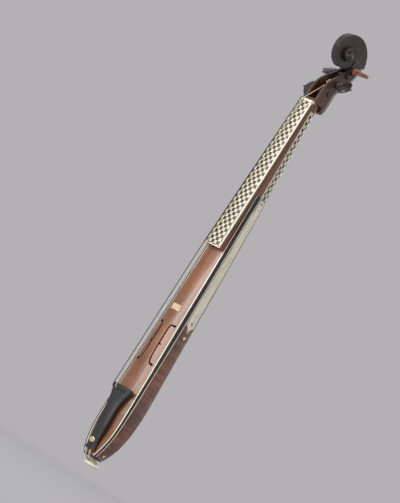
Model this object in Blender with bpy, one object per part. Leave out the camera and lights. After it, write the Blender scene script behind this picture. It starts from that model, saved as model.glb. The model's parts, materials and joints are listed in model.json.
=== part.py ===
# Pochette, a boat-shaped kit fiddle of the dancing masters, at its real size.
# Metres. +Z runs along the instrument towards the scroll, +X is its treble side and
# the soundboard faces -Y. The origin is the middle of the end button's outer face.

import math

import bmesh
import bpy
from mathutils import Matrix, Vector

GAP = 0.0003

# End button, its collar and the end plate, stacked along Z from the origin
BUTTON_RADIUS = 0.0078
BUTTON_FLAT_RADIUS = 0.0026
BUTTON_HEIGHT = 0.0034
BUTTON_NECK_RADIUS = 0.0027
BUTTON_NECK_LENGTH = 0.0032
SHANK_RADIUS = 0.0019
SHANK_LENGTH = 0.0140
COLLAR_RADIUS = 0.0058
COLLAR_HEIGHT = 0.0011
END_PLATE_THICKNESS = 0.0021
END_PLATE_INSET = 0.0007

# Body, from the lower ends of its staves to the end of the soundboard
BODY_LENGTH = 0.2824
BODY_HALF_WIDTH = 0.0166
BODY_DEPTH = 0.0247
BODY_FRONT_Y = -0.01115
SIDE_CURVE = 0.0009
BACK_SHARE = 0.72
BACK_CROWN = 0.18
STAVE_THICKNESS = 0.0020
RIB_THICKNESS = 0.0010
RIB_DEPTH = 0.0046
LINE_WIDTH = 0.0010

# Soundboard, its inlaid edge line and the linings under it
BOARD_THICKNESS = 0.0024
BOARD_EDGE_THICKNESS = 0.0013
ARCH_HEIGHT = 0.0036
EDGE_LINE_WIDTH = 0.0010
EDGE_LINE_DEPTH = 0.0005
LINING_WIDTH = 0.0022
LINING_DEPTH = 0.0040
POST_RADIUS = 0.0021
POST_X = 0.0062
POST_Z = 0.1220

# Soundholes: a straight spine near the middle with both ends turned outwards
HOLE_SPINE_X = 0.0050
HOLE_TOP_Z = 0.1492
HOLE_BOTTOM_Z = 0.1082
HOLE_REACH = 0.0046
HOLE_SLOT = 0.0017
HOLE_EYE_RADIUS = 0.0013
HOLE_NICK = 0.0026

# Neck, fingerboard and nut
NECK_LENGTH = 0.1009
NECK_TOP_HALF_WIDTH = 0.0084
NECK_TOP_DEPTH = 0.0110
NECK_LINE_DEPTH_TOP = 0.0030
HEEL_LENGTH = 0.0088
NECK_BLOCK_LENGTH = 0.0240
BOARD_LOW_HALF_WIDTH = 0.0109
BOARD_HIGH_HALF_WIDTH = 0.0080
FINGERBOARD_LENGTH = 0.1620
FINGERBOARD_LOW_Y = -0.01915
FINGERBOARD_HIGH_Y = -0.01370
FINGERBOARD_SEAT_LOW_Y = -0.01330
FINGERBOARD_SEAT_HIGH_Y = -0.01150
FINGERBOARD_CAMBER = 0.0011
VENEER_THICKNESS = 0.0012
FINGERBOARD_EDGE_WIDTH = 0.0011
END_STRIP_HEIGHT = 0.0009
NUT_THICKNESS = 0.0026
NUT_HALF_WIDTH = 0.0079
NUT_RISE = 0.0005
NUT_FOOT_Y = -0.0099

# Ivory panels on the staves, with the round dots and pins below them
PANEL_THICKNESS = 0.0009
PANEL_FRONT_MARGIN = 0.0004
PANEL_BACK_MARGIN = 0.0019
PANEL_TOP_MARGIN = 0.0006
PANEL_SHOULDER_Z = 0.1572
PANEL_TIP_Z = 0.1496
DOT_RADIUS = 0.0017
DOT_Z = 0.1449
PIN_RADIUS = 0.0013
PIN_Z = 0.0140
INLAY_STAND = 0.0002

# Head: pegbox and scroll, measured from the top of the neck
CHEEK_HALF_WIDTH = 0.0082
CHEEK_THICKNESS = 0.0026
PEGBOX_FRONT_Y = -0.0103
PEGBOX_BACK_Y = 0.0104
EYE_Y = -0.0013
EYE_HEIGHT = 0.0571
SCROLL_RADIUS = 0.0260
SCROLL_SHRINK = 0.42
SCROLL_TURNS = 2.5
SCROLL_STEPS = 24
SCROLL_GROOVE = 0.0007
EYE_HALF_WIDTH = 0.0084

# Pegs: place of each shaft (Y, height over the neck), side of its head, turn of its blade
PEG_PLACES = {
    "bass_lower": (-0.0005, 0.0144, -1, 5),
    "treble_lower": (0.0036, 0.0271, 1, 24),
    "bass_upper": (0.0098, 0.0403, -1, 45),
    "treble_upper": (0.0137, 0.0481, 1, 84),
}
PEG_SHAFT_RADIUS = 0.0029
PEG_TIP_RADIUS = 0.0024
PEG_TIP_STAND = 0.0011
PEG_COLLAR_RADIUS = 0.0039
PEG_NECK_LENGTH = 0.0036
PEG_BLADE_LENGTH = 0.0126
PEG_BLADE_HALF_HEIGHT = 0.0085
PEG_BLADE_HALF_THICKNESS = 0.0022
PEG_PIP_RADIUS = 0.0011

# Strings that are left, and their windings on the lower pegs
STRING_RADIUS = 0.00042
WINDING_PITCH = 0.00129
DARK_NUT_X = -0.0064
DARK_BOARD_X = -0.0092
DARK_TAIL_X = -0.0121
DARK_PEG_X = -0.0026
DARK_TURNS = 4
LIGHT_NUT_X = -0.0026
LIGHT_BOARD_X = -0.0056
LIGHT_TAIL_X = -0.0078
LIGHT_PEG_X = 0.0010
LIGHT_TURNS = 3

# Tailpiece, its inlay and the gut loop that holds it
TAIL_BOTTOM_Z = 0.0135
TAIL_TOP_Z = 0.0782
TAIL_TOP_HALF_WIDTH = 0.0134
TAIL_WAIST_HALF_WIDTH = 0.0073
TAIL_FOOT_HALF_WIDTH = 0.0060
TAIL_TOP_Y = -0.0191
TAIL_MIDDLE_Y = -0.0178
TAIL_BOTTOM_Y = -0.0141
TAIL_CAMBER = 0.0012
TAIL_THICKNESS = 0.0023
TAIL_HOLE_RADIUS = 0.0009
TAIL_HOLE_DROP = 0.0045
TAIL_HOLE_X = (-0.0064, -0.0021, 0.0021, 0.0064)
TAIL_INLAY_Z = 0.0222
TAIL_INLAY_HALF_WIDTH = 0.0036
TAIL_INLAY_HALF_HEIGHT = 0.0026
TAIL_INLAY_STAND = 0.0007
GUT_RADIUS = 0.00075
GUT_SPREAD = 0.0025

# Blank paper label on the soundboard
LABEL_WIDTH = 0.0124
LABEL_HEIGHT = 0.0060
LABEL_Z = 0.1660
LABEL_X = -0.0006
LABEL_THICKNESS = 0.0003

COLLAR_Z = BUTTON_HEIGHT + BUTTON_NECK_LENGTH
END_PLATE_Z = COLLAR_Z + COLLAR_HEIGHT + GAP
BODY_BOTTOM = END_PLATE_Z + END_PLATE_THICKNESS + GAP
BODY_TOP = BODY_BOTTOM + BODY_LENGTH
NECK_BOTTOM = BODY_TOP + GAP
NECK_TOP = NECK_BOTTOM + NECK_LENGTH + GAP + NUT_THICKNESS
HEEL_Z = NECK_TOP - HEEL_LENGTH
FINGERBOARD_TOP = NECK_TOP - NUT_THICKNESS - GAP
FINGERBOARD_BOTTOM = FINGERBOARD_TOP - FINGERBOARD_LENGTH
HEAD_BASE = NECK_TOP + GAP
EYE_Z = HEAD_BASE + EYE_HEIGHT

SMOOTH_ANGLE = math.radians(32)


def smooth_curve(points, t):
    """Value at t on a smooth curve through (place, value) points."""
    if t <= points[0][0]:
        return points[0][1]
    if t >= points[-1][0]:
        return points[-1][1]
    i = next(k for k in range(len(points) - 1) if t <= points[k + 1][0])

    def slope(k):
        lower = points[max(k - 1, 0)]
        upper = points[min(k + 1, len(points) - 1)]
        return (upper[1] - lower[1]) / (upper[0] - lower[0])

    (t0, v0), (t1, v1) = points[i], points[i + 1]
    width = t1 - t0
    s = (t - t0) / width
    h00 = 2 * s ** 3 - 3 * s ** 2 + 1
    h10 = s ** 3 - 2 * s ** 2 + s
    h01 = -2 * s ** 3 + 3 * s ** 2
    h11 = s ** 3 - s ** 2
    return h00 * v0 + h10 * width * slope(i) + h01 * v1 + h11 * width * slope(i + 1)


def mix(a, b, t):
    return a + (b - a) * t


# Materials


def make_material(name, colour, roughness, metallic=0.0):
    material = bpy.data.materials.new(name)
    material.use_nodes = True
    shader = material.node_tree.nodes["Principled BSDF"]
    shader.inputs["Base Color"].default_value = (*colour, 1.0)
    shader.inputs["Roughness"].default_value = roughness
    shader.inputs["Metallic"].default_value = metallic
    material.diffuse_color = (*colour, 1.0)
    return material


def make_materials():
    return {
        "body_wood": make_material("body_wood", (0.33, 0.12, 0.06), 0.35),
        "board_wood": make_material("board_wood", (0.40, 0.16, 0.07), 0.4),
        "neck_wood": make_material("neck_wood", (0.30, 0.11, 0.05), 0.4),
        "head_wood": make_material("head_wood", (0.05, 0.03, 0.025), 0.4),
        "inner_wood": make_material("inner_wood", (0.55, 0.40, 0.24), 0.7),
        "ebony": make_material("ebony", (0.02, 0.02, 0.02), 0.3),
        "peg_wood": make_material("peg_wood", (0.06, 0.03, 0.03), 0.3),
        "peg_brown": make_material("peg_brown", (0.32, 0.12, 0.06), 0.3),
        "ivory": make_material("ivory", (0.86, 0.82, 0.68), 0.3),
        "chequer": make_material("chequer", (0.45, 0.42, 0.36), 0.35),
        "pearl": make_material("pearl", (0.70, 0.62, 0.48), 0.25),
        "gut": make_material("gut", (0.72, 0.62, 0.42), 0.5),
        "dark_string": make_material("dark_string", (0.05, 0.045, 0.04), 0.4),
        "paper": make_material("paper", (0.80, 0.70, 0.48), 0.9),
    }


# Mesh helpers


def add_object(name, mesh, material, smooth=True):
    mesh.materials.append(material)
    if smooth:
        mesh.shade_smooth()
        mesh.set_sharp_from_angle(angle=SMOOTH_ANGLE)
    thing = bpy.data.objects.new(name, mesh)
    bpy.context.scene.collection.objects.link(thing)
    return thing


def mesh_from_faces(name, corners, faces):
    mesh = bpy.data.meshes.new(name)
    mesh.from_pydata([tuple(c) for c in corners], [], faces)
    shape = bmesh.new()
    shape.from_mesh(mesh)
    bmesh.ops.recalc_face_normals(shape, faces=shape.faces)
    shape.to_mesh(mesh)
    shape.free()
    return mesh


def loft_mesh(name, rings):
    """Closed solid through rings of points, one cap at each end."""
    count = len(rings[0])
    corners = [point for ring in rings for point in ring]
    faces = []
    for i in range(len(rings) - 1):
        for j in range(count):
            k = (j + 1) % count
            faces.append((i * count + j, i * count + k, (i + 1) * count + k, (i + 1) * count + j))
    faces.append(tuple(range(count)))
    faces.append(tuple((len(rings) - 1) * count + j for j in range(count)))
    return mesh_from_faces(name, corners, faces)


def loft(name, rings, material):
    return add_object(name, loft_mesh(name, rings), material)


def make_cutter(name, mesh):
    cutter = bpy.data.objects.new(name, mesh)
    bpy.context.scene.collection.objects.link(cutter)
    cutter.hide_render = True
    cutter.display_type = "WIRE"
    return cutter


def boolean(thing, other, operation="DIFFERENCE"):
    change = thing.modifiers.new(other.name, "BOOLEAN")
    change.operation = operation
    change.object = other
    change.solver = "EXACT"


def turned_mesh(name, profile, segments, place, axis):
    """Solid turned about axis through place, from (along, radius) pairs."""
    axis = Vector(axis).normalized()
    side = axis.orthogonal().normalized()
    up = axis.cross(side)
    rings = []
    for along, radius in profile:
        centre = Vector(place) + axis * along
        ring = []
        for i in range(segments):
            angle = 2 * math.pi * i / segments
            ring.append(centre + (side * math.cos(angle) + up * math.sin(angle)) * radius)
        rings.append(ring)
    return loft_mesh(name, rings)


def tube(name, points, radius, material, resolution=2, origin=None):
    """Round cord along points, with flat ends."""
    origin = Vector(origin or (0, 0, 0))
    path = bpy.data.curves.new(name, "CURVE")
    path.dimensions = "3D"
    path.bevel_depth = radius
    path.bevel_resolution = resolution
    path.use_fill_caps = True
    spline = path.splines.new("POLY")
    spline.points.add(len(points) - 1)
    for knot, point in zip(spline.points, points):
        knot.co = (*(Vector(point) - origin), 1.0)
    path.materials.append(material)
    cord = bpy.data.objects.new(name, path)
    cord.location = origin
    bpy.context.scene.collection.objects.link(cord)
    return cord


# Shape of the body and neck, as functions of the height z


BODY_OUTLINE = ((0, 0.524), (0.033, 0.75), (0.085, 0.953), (0.165, 1.0), (0.30, 0.955),
                (0.505, 0.862), (0.746, 0.783), (1, 0.693))
DEPTH_OUTLINE = ((0, 0.62), (0.06, 0.85), (0.17, 1.0), (0.30, 0.964), (0.465, 0.90),
                 (0.66, 0.826), (0.795, 0.767), (1, 0.645))
RIB_OUTLINE = ((0, 0.47), (0.09, 0.49), (0.20, 0.62), (0.33, 0.79), (0.46, 0.97), (0.60, 0.98),
               (0.80, 0.90), (0.97, 0.87), (1, 1.0))
ARCH_OUTLINE = ((0, 0.02), (0.065, 0.15), (0.12, 0.48), (0.18, 0.89), (0.32, 1.0),
                (0.50, 0.97), (0.65, 0.72), (0.78, 0.44), (1, 0.28))


def body_share(z):
    return (z - BODY_BOTTOM) / BODY_LENGTH


def neck_share(z):
    return max(0.0, (z - BODY_TOP) / (NECK_TOP - BODY_TOP))


def half_width(z):
    if z > BODY_TOP:
        top = BODY_HALF_WIDTH * BODY_OUTLINE[-1][1]
        return mix(top, NECK_TOP_HALF_WIDTH, neck_share(z))
    return BODY_HALF_WIDTH * smooth_curve(BODY_OUTLINE, body_share(z))


def rib_depth(z):
    if z > BODY_TOP:
        return mix(RIB_DEPTH * RIB_OUTLINE[-1][1], NECK_LINE_DEPTH_TOP, neck_share(z))
    return RIB_DEPTH * smooth_curve(RIB_OUTLINE, body_share(z))


def side_depth(z):
    if z > BODY_TOP:
        return mix(BODY_DEPTH * DEPTH_OUTLINE[-1][1], NECK_TOP_DEPTH, neck_share(z))
    return BODY_DEPTH * smooth_curve(DEPTH_OUTLINE, body_share(z))


def arch(z):
    return ARCH_HEIGHT * smooth_curve(ARCH_OUTLINE, body_share(z))


def front_edge(z):
    """Edge of the soundboard in the body, edge of the fingerboard's seat in the neck."""
    if z > BODY_TOP:
        return Vector((fingerboard_half_width(z), fingerboard_seat_y(z)))
    return Vector((half_width(z), BODY_FRONT_Y))


def corner(z, k):
    """Corner k of the section: 0 front edge, 1 rib and side, 2 side and back, 3 across."""
    if k == 0:
        return front_edge(z)
    if k == 1:
        return Vector((half_width(z), BODY_FRONT_Y + rib_depth(z)))
    x = BACK_SHARE * half_width(z)
    return Vector((x if k == 2 else -x, BODY_FRONT_Y + side_depth(z)))


def face_normal(z, k):
    along = (corner(z, k + 1) - corner(z, k)).normalized()
    return Vector((along.y, -along.x))


def corner_normal(z, k):
    """Outward direction of the joint at corner k, long enough to mitre it."""
    if k == 0:
        return Vector((1.0, 0.0))
    if k == 3:
        mirrored = corner_normal(z, 2)
        return Vector((-mirrored.x, mirrored.y))
    one, other = face_normal(z, k - 1), face_normal(z, k)
    return (one + other) / (1 + one.dot(other))


def face_length(z, k):
    return (corner(z, k + 1) - corner(z, k)).length


def bulge(z, k):
    if k == 1:
        return SIDE_CURVE
    if k == 2:
        return BACK_CROWN * BACK_SHARE * half_width(z)
    return 0.0


def section_point(z, k, share, depth):
    """Point on face k at a share of its width, some depth under the outer surface."""
    a, b = corner(z, k), corner(z, k + 1)
    flat = face_normal(z, k)
    rise = bulge(z, k) * 4 * share * (1 - share)
    start = 4 * bulge(z, k) / face_length(z, k)
    along = (b - a).normalized()
    lean = flat - along * start * (1 - 2 * share)
    if share < 0.5:
        normal = mix(corner_normal(z, k), lean, min(1.0, share * 3))
    else:
        normal = mix(corner_normal(z, k + 1), lean, min(1.0, (1 - share) * 3))
    point = a + (b - a) * share + flat * rise - normal * depth
    return Vector((point.x, point.y, z))


def stations(low, high, steps=20):
    """Heights from low to high, closer together where the lower end curves."""
    heights = [BODY_BOTTOM + BODY_LENGTH * (i / steps) ** 1.75 for i in range(steps + 1)]
    heights += [mix(NECK_BOTTOM, NECK_TOP, i / 4) for i in range(5)]
    inner = [z for z in heights if low + 0.001 < z < high - 0.001]
    return [low, *inner, high]


def mirrored(rings):
    return [[Vector((-p.x, p.y, p.z)) for p in ring] for ring in rings]


def on_both_sides(name, rings, material):
    """The treble piece through rings and its bass twin."""
    return [loft(name + "_treble", rings, material), loft(name + "_bass", mirrored(rings), material)]


def stave_rings(k, heights, depth, low_margin, high_margin, across):
    rings = []
    for z in heights:
        width = face_length(z, k)
        shares = [mix(low_margin / width, 1 - high_margin / width, i / across) for i in range(across + 1)]
        outer = [section_point(z, k, s, 0.0) for s in shares]
        inner = [section_point(z, k, s, depth) for s in reversed(shares)]
        rings.append(outer + inner)
    return rings


# Body


def soundboard_y(z, x):
    reach = half_width(z) - RIB_THICKNESS - GAP
    return BODY_FRONT_Y - arch(z) * (1 - (x / reach) ** 2)


def soundboard_under(z, x):
    """Inner face of the soundboard, which thins towards its edges."""
    field = half_width(z) - RIB_THICKNESS - EDGE_LINE_WIDTH - 2 * GAP
    full = 0.75 * field
    if abs(x) <= full:
        return soundboard_y(z, x) + BOARD_THICKNESS
    share = (abs(x) - full) / (field - full)
    return mix(soundboard_y(z, full) + BOARD_THICKNESS, BODY_FRONT_Y + BOARD_EDGE_THICKNESS, share)


def make_soundboard(wood):
    """Arched plate with a rebate along each edge for the inlaid line."""
    rings = []
    for z in stations(BODY_BOTTOM, BODY_TOP):
        edge = half_width(z) - RIB_THICKNESS - GAP
        field = edge - EDGE_LINE_WIDTH - GAP
        xs = [field * i / 4 for i in range(-4, 5)]
        top = [Vector((x, soundboard_y(z, x), z)) for x in xs]
        step_y = soundboard_y(z, field) + EDGE_LINE_DEPTH + GAP
        ledge_y = BODY_FRONT_Y + EDGE_LINE_DEPTH + GAP
        right = [(field, step_y), (edge, ledge_y), (edge, BODY_FRONT_Y + BOARD_EDGE_THICKNESS)]
        under = [(x, soundboard_under(z, x)) for x in reversed(xs)]
        left = [(-x, y) for x, y in reversed(right)]
        rings.append(top + [Vector((x, y, z)) for x, y in right + under + left])
    board = loft("soundboard", rings, wood)
    for side, name in ((1, "treble"), (-1, "bass")):
        boolean(board, make_cutter("soundhole_" + name, soundhole_mesh(side)))
    return board


def soundhole_mesh(side):
    """Prism of one soundhole: a spine, two arms that turn outwards, round ends and a nick."""
    half = HOLE_SLOT / 2
    reach = HOLE_SPINE_X + HOLE_REACH
    middle = (HOLE_TOP_Z + HOLE_BOTTOM_Z) / 2
    spine = HOLE_SPINE_X
    bend = HOLE_REACH * 0.35
    top_eye = (reach, HOLE_TOP_Z)
    low_eye = (reach + bend * 0.4, HOLE_BOTTOM_Z)

    def eye(centre, start, sweep, steps=8):
        angles = [math.radians(start + sweep * i / steps) for i in range(steps + 1)]
        return [(centre[0] + HOLE_EYE_RADIUS * math.cos(a), centre[1] + HOLE_EYE_RADIUS * math.sin(a))
                for a in angles]

    outline = eye(top_eye, 220, 290)
    outline += [(spine + bend, HOLE_TOP_Z + half), (spine - half * 0.4, HOLE_TOP_Z - half)]
    outline += [(spine - half, HOLE_TOP_Z - 2 * bend), (spine - half, middle)]
    outline += [(spine - half * 0.6, mix(middle, HOLE_BOTTOM_Z, 0.45))]
    outline += [(spine + bend * 0.1, mix(middle, HOLE_BOTTOM_Z, 0.75))]
    outline += [(spine + bend * 0.9, HOLE_BOTTOM_Z + half), (spine + bend * 1.8, HOLE_BOTTOM_Z - half)]
    outline += eye(low_eye, 215, 280)
    outline += [(spine + bend * 1.9, HOLE_BOTTOM_Z + half * 1.5)]
    outline += [(spine + bend * 0.9 + half, HOLE_BOTTOM_Z + bend * 1.9)]
    outline += [(spine + half + bend * 0.2, mix(middle, HOLE_BOTTOM_Z, 0.6))]
    outline += [(spine + half, middle - HOLE_NICK * 0.4), (spine + half + HOLE_NICK, middle)]
    outline += [(spine + half, middle + HOLE_NICK * 0.4)]
    outline += [(spine + half, HOLE_TOP_Z - 2 * bend), (spine + half + bend * 0.4, HOLE_TOP_Z - half * 1.3)]
    front = BODY_FRONT_Y - ARCH_HEIGHT - BOARD_THICKNESS
    back = BODY_FRONT_Y + 2 * BOARD_THICKNESS
    return loft_mesh("soundhole", [[Vector((side * x, y, z)) for x, z in outline] for y in (front, back)])


def make_edge_lines(ivory):
    """Light line let into the soundboard beside each rib."""
    rings = []
    for z in stations(BODY_BOTTOM, BODY_TOP):
        outer = half_width(z) - RIB_THICKNESS - GAP
        inner = outer - EDGE_LINE_WIDTH
        top = soundboard_y(z, inner)
        floor = BODY_FRONT_Y + EDGE_LINE_DEPTH
        rings.append([Vector((x, y, z)) for x, y in
                      ((inner, top), (outer, BODY_FRONT_Y), (outer, floor), (inner, top + EDGE_LINE_DEPTH))])
    on_both_sides("edge_line", rings, ivory)


def make_ribs(ebony):
    """Narrow ebony rib on each side of the soundboard."""
    heights = stations(BODY_BOTTOM, BODY_TOP)
    rings = stave_rings(0, heights, RIB_THICKNESS, 0.0, LINE_WIDTH / 2 + GAP, 2)
    on_both_sides("ebony_rib", rings, ebony)


def joint_rings(k, heights):
    """Line strip that fills the joint between two staves at corner k."""
    rings = []
    for z in heights:
        normal = corner_normal(z, k)
        along = Vector((-normal.y, normal.x)).normalized() * LINE_WIDTH / 2
        centre = corner(z, k)
        inner = centre - normal * STAVE_THICKNESS
        rings.append([Vector((p.x, p.y, z)) for p in
                      (centre - along, centre + along, inner + along, inner - along)])
    return rings


def make_stave_lines(ivory):
    heights = stations(BODY_BOTTOM, HEEL_Z - GAP)
    on_both_sides("side_line", joint_rings(1, heights), ivory)
    on_both_sides("back_line", joint_rings(2, heights), ivory)


PANEL_TIP_OUTLINE = ((0, 0.03), (0.27, 0.11), (0.5, 0.24), (0.72, 0.52), (1, 1.0))


def panel_rings(k, grow, depth, proud, across=4):
    """Panel with a square upper end and a pointed lower end, on face k."""
    top = BODY_TOP - PANEL_TOP_MARGIN + grow
    tip = PANEL_TIP_Z - grow
    shoulder = PANEL_SHOULDER_Z - grow
    margin = PANEL_FRONT_MARGIN if k == 1 else PANEL_BACK_MARGIN
    heights = [mix(tip, shoulder, t) for t, _ in PANEL_TIP_OUTLINE]
    heights += [mix(shoulder, top, i / 7) for i in range(1, 8)]
    rings = []
    for z in heights:
        width = face_length(z, k)
        joint = LINE_WIDTH / 2 + GAP
        low = (joint + margin) / width
        high = 1 - (joint + PANEL_BACK_MARGIN) / width
        middle, reach = (low + high) / 2, (high - low) / 2
        share = smooth_curve(PANEL_TIP_OUTLINE, (z - tip) / (shoulder - tip))
        reach = reach * share + grow / width
        shares = [middle - reach + 2 * reach * i / across for i in range(across + 1)]
        outer = [section_point(z, k, s, -proud) for s in shares]
        inner = [section_point(z, k, s, depth) for s in reversed(shares)]
        rings.append(outer + inner)
    return rings


def stave_inlay_frame(z, k):
    """Place and outward direction in the middle of face k at height z."""
    step = 0.001
    place = section_point(z, k, 0.5, 0.0)
    normal = (section_point(z, k, 0.5, -step) - place).normalized()
    along = (section_point(z + step, k, 0.5, 0.0) - place).normalized()
    return place, (normal - along * normal.dot(along)).normalized()


def round_inlay(name, z, k, radius, side, grow=0.0):
    place, normal = stave_inlay_frame(z, k)
    if side < 0:
        place, normal = Vector((-place.x, place.y, place.z)), Vector((-normal.x, normal.y, normal.z))
    outer = INLAY_STAND if grow == 0 else INLAY_STAND + PANEL_THICKNESS
    profile = ((-PANEL_THICKNESS - grow, radius + grow), (outer * 0.3, radius + grow),
               (outer, (radius + grow) * 0.72))
    if grow:
        profile = ((-PANEL_THICKNESS - grow, radius + grow), (outer, radius + grow))
    return turned_mesh(name, profile, 16, place, normal)


def make_staves(wood, ivory):
    """Two side staves and the back stave, each with its ivory panel, dot and pin let in."""
    joint = LINE_WIDTH / 2 + GAP
    heights = stations(BODY_BOTTOM, BODY_TOP)
    sides = on_both_sides("side_stave", stave_rings(1, heights, STAVE_THICKNESS, joint, joint, 4), wood)
    back = loft("back_stave", stave_rings(2, heights, STAVE_THICKNESS, joint, joint, 6), wood)
    clear = 2 * GAP
    for stave, name, k, side in ((sides[0], "treble", 1, 1), (sides[1], "bass", 1, -1), (back, "back", 2, 1)):
        panel = panel_rings(k, 0.0, PANEL_THICKNESS, 0.0)
        pocket = panel_rings(k, GAP, PANEL_THICKNESS + GAP, clear + PANEL_THICKNESS)
        if side < 0:
            panel, pocket = mirrored(panel), mirrored(pocket)
        loft("panel_" + name, panel, ivory)
        boolean(stave, make_cutter("panel_pocket_" + name, loft_mesh("pocket", pocket)))
        for kind, z, radius in (("dot", DOT_Z, DOT_RADIUS), ("pin", PIN_Z, PIN_RADIUS)):
            mesh = round_inlay(kind, z, k, radius, side)
            add_object(kind + "_" + name, mesh, ivory)
            socket = round_inlay(kind + "_socket", z, k, radius, side, GAP)
            boolean(stave, make_cutter(kind + "_socket_" + name, socket))


def make_linings(wood):
    """Strip inside each rib that the soundboard rests on."""
    low = BODY_BOTTOM + SHANK_LENGTH + 3 * GAP
    high = BODY_TOP - NECK_BLOCK_LENGTH - 3 * GAP
    rings = []
    for z in stations(low, high):
        outer = half_width(z) - STAVE_THICKNESS - 2 * GAP
        inner = outer - LINING_WIDTH
        top = max(soundboard_under(z, inner), soundboard_under(z, outer)) + GAP
        rings.append([Vector((x, y, z)) for x, y in
                      ((inner, top), (outer, top), (outer, top + LINING_DEPTH * 0.4), (inner, top + LINING_DEPTH))])
    on_both_sides("lining", rings, wood)


def block_ring(z, cover):
    """Section inside the staves, behind the soundboard."""
    depth = STAVE_THICKNESS + cover
    front = BODY_FRONT_Y + BOARD_THICKNESS + cover
    lower = section_point(z, 1, 0.12, depth)
    reach = half_width(z) - depth - SIDE_CURVE
    right = [Vector((reach, front, z)), Vector((min(lower.x, reach), lower.y, z))]
    right += [section_point(z, 1, s, depth) for s in (0.5, 0.93)]
    right += [section_point(z, 2, s, depth) for s in (0.25, 0.5)]
    left = [Vector((-p.x, p.y, p.z)) for p in reversed(right[:-1])]
    return right + left


def make_end_block(wood):
    """Block inside the lower end, bored for the button's shank."""
    high = BODY_BOTTOM + SHANK_LENGTH
    heights = [mix(BODY_BOTTOM, high, i / 3) for i in range(4)]
    block = loft("end_block", [block_ring(z, GAP) for z in heights], wood)
    boolean(block, shank_cutter("end_block_bore"))


def shank_cutter(name):
    profile = ((COLLAR_Z - GAP, SHANK_RADIUS + GAP), (BODY_BOTTOM + 2 * SHANK_LENGTH, SHANK_RADIUS + GAP))
    return make_cutter(name, turned_mesh(name, profile, 20, (0, 0, 0), (0, 0, 1)))


def make_sound_post(wood):
    """Post that stands between the back stave and the soundboard."""
    front = soundboard_y(POST_Z, POST_X + POST_RADIUS) + BOARD_THICKNESS + GAP
    back = section_point(POST_Z, 2, 0.5, STAVE_THICKNESS).y
    crown = bulge(POST_Z, 2)
    lean = ((POST_X + POST_RADIUS) / corner(POST_Z, 2).x) ** 2
    length = back - crown * lean - 3 * GAP - front
    profile = ((0, POST_RADIUS), (length, POST_RADIUS))
    add_object("sound_post", turned_mesh("sound_post", profile, 16, (POST_X, front, POST_Z), (0, 1, 0)), wood)


def make_end_plate(ebony):
    """Ebony cap over the lower ends of the staves, which the gut bends round."""
    rings = []
    for z, extra in ((END_PLATE_Z, 2.4), (END_PLATE_Z + END_PLATE_THICKNESS * 0.4, 1.2),
                     (END_PLATE_Z + END_PLATE_THICKNESS, 1.0)):
        inset = END_PLATE_INSET * extra
        place = BODY_BOTTOM
        right = [Vector((half_width(place) - inset, BODY_FRONT_Y + inset))]
        right += [section_point(place, 1, s, inset) for s in (0.02, 0.5, 0.97)]
        right += [section_point(place, 2, s, inset) for s in (0.2, 0.5)]
        ring = [Vector((p.x, p.y, z)) for p in right]
        ring += [Vector((-p.x, p.y, z)) for p in reversed(right[:-1])]
        rings.append(ring)
    plate = loft("end_plate", rings, ebony)
    boolean(plate, shank_cutter("end_plate_bore"))


def make_button(ivory):
    """Turned end button with its shank, and the collar ring above the gut."""
    neck = BUTTON_NECK_RADIUS
    profile = [(0, BUTTON_FLAT_RADIUS)]
    for i in range(1, 5):
        angle = math.radians(90 * i / 4)
        rise = BUTTON_HEIGHT * 0.55 * (1 - math.cos(angle))
        profile.append((rise, mix(BUTTON_FLAT_RADIUS, BUTTON_RADIUS, math.sin(angle))))
    profile += [(BUTTON_HEIGHT * 0.85, BUTTON_RADIUS), (BUTTON_HEIGHT, BUTTON_RADIUS - 2 * GAP)]
    profile += [(BUTTON_HEIGHT + GAP, neck + 2 * GAP), (BUTTON_HEIGHT + 4 * GAP, neck)]
    profile += [(COLLAR_Z - GAP, neck), (COLLAR_Z - GAP, SHANK_RADIUS)]
    profile += [(BODY_BOTTOM + SHANK_LENGTH - 2 * GAP, SHANK_RADIUS * 0.92)]
    add_object("end_button", turned_mesh("end_button", profile, 24, (0, 0, 0), (0, 0, 1)), ivory)
    half = COLLAR_HEIGHT / 2
    ring = [(0, COLLAR_RADIUS - half * 0.5), (half, COLLAR_RADIUS), (COLLAR_HEIGHT, COLLAR_RADIUS - half * 0.5)]
    collar = add_object("button_collar", turned_mesh("button_collar", ring, 24, (0, 0, COLLAR_Z), (0, 0, 1)), ivory)
    boolean(collar, shank_cutter("collar_bore"))


def make_label(paper):
    """Blank slip of paper glued to the soundboard."""
    rings = []
    for z in (LABEL_Z - LABEL_HEIGHT / 2, LABEL_Z + LABEL_HEIGHT / 2):
        xs = [LABEL_X + LABEL_WIDTH * (i / 4 - 0.5) for i in range(5)]
        tops = [(x, soundboard_y(z, x) - GAP) for x in xs]
        ring = [Vector((x, y - LABEL_THICKNESS, z)) for x, y in tops]
        ring += [Vector((x, y, z)) for x, y in reversed(tops)]
        rings.append(ring)
    loft("paper_label", rings, paper)


# Neck and fingerboard


def fingerboard_share(z):
    return (z - FINGERBOARD_BOTTOM) / FINGERBOARD_LENGTH


def fingerboard_half_width(z):
    return mix(BOARD_LOW_HALF_WIDTH, BOARD_HIGH_HALF_WIDTH, fingerboard_share(z))


def fingerboard_seat_y(z):
    return mix(FINGERBOARD_SEAT_LOW_Y, FINGERBOARD_SEAT_HIGH_Y, fingerboard_share(z))


def fingerboard_y(z, x):
    edge = mix(FINGERBOARD_LOW_Y, FINGERBOARD_HIGH_Y, fingerboard_share(z))
    return edge - FINGERBOARD_CAMBER * (1 - (x / fingerboard_half_width(z)) ** 2)


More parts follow.
